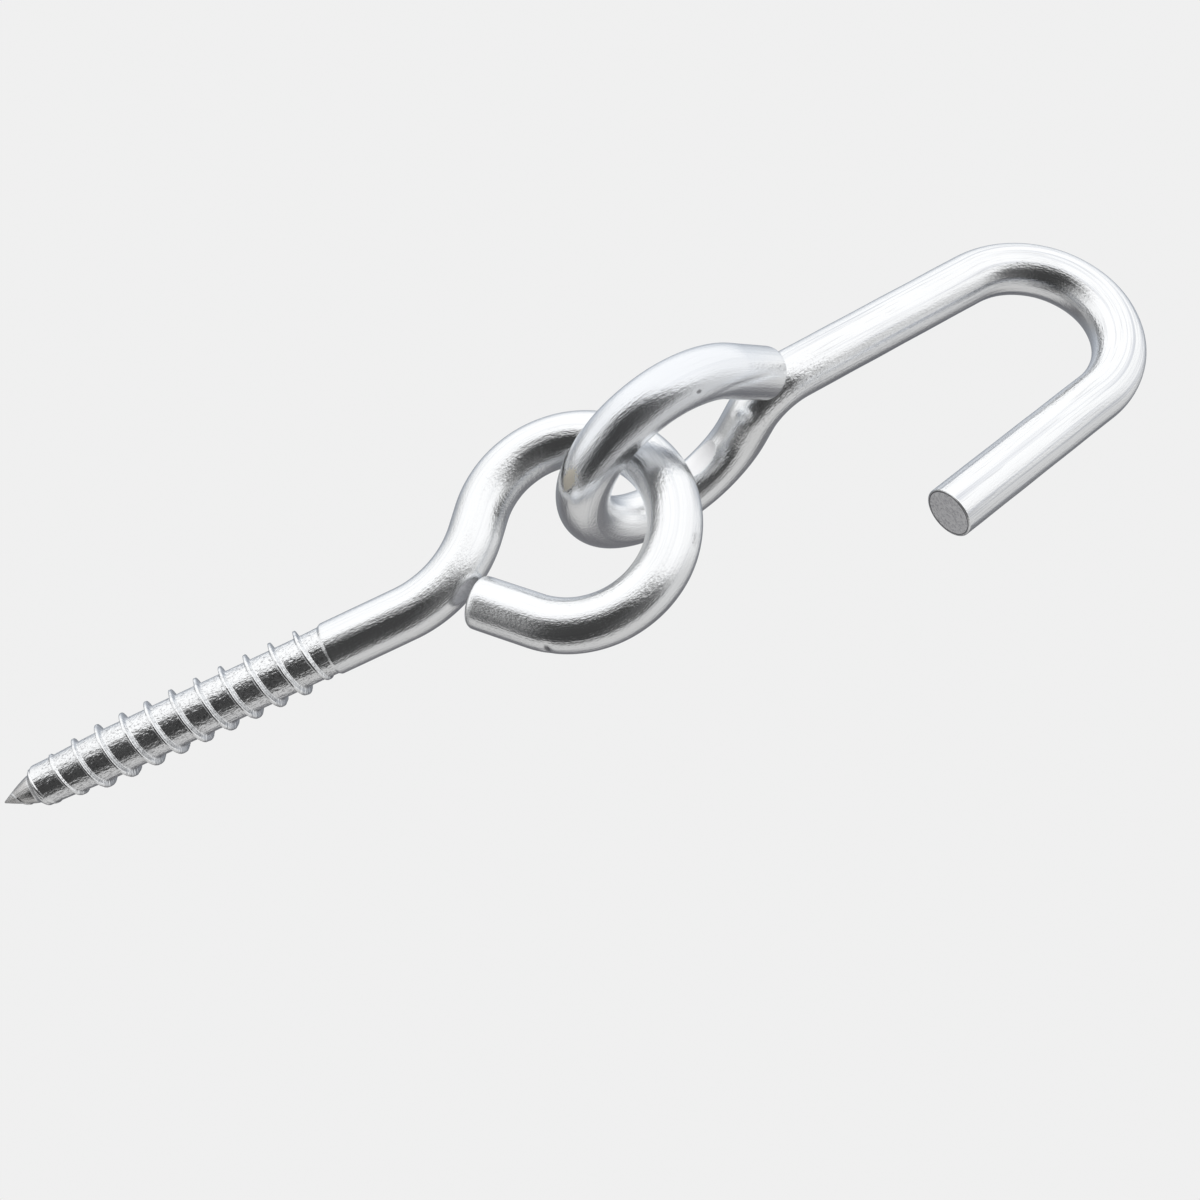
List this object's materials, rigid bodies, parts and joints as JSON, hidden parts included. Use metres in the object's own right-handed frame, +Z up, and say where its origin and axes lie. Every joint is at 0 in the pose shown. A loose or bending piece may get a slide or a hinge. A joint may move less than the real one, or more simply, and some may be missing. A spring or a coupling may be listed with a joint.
{
  "type": "hammock hook",
  "caption": "Screw eye with a coarse gimlet-point wood thread, and a bent rod hook whose own eye is linked through it, so the hook swings under the screw and holds a rope or ring.",
  "frame": {"origin": "on the screw's axis, at the shoulder where the thread meets the plain shank", "axes": "+Z up, with the hook balanced under its link; +X across the screw's eye, away from its cut end; +Y is the way the screw leans back"},
  "size_m": [0.0568, 0.0679, 0.2239],
  "materials": {
    "zinc": "bright zinc plate, glossy with fine drawing streaks"
  },
  "bodies": {
    "screw_eye": {"screw_eye": "zinc"},
    "hook": {"hook": "zinc"}
  },
  "joints": [
    {"name": "hook_swing", "type": "hinge", "parent": "screw_eye", "child": "hook", "pos_m": [0.01279, -0.02212, -0.05794], "axis": [0.7443, 0.2382, 0.6239], "range_deg": [-80, 80]}
  ]
}
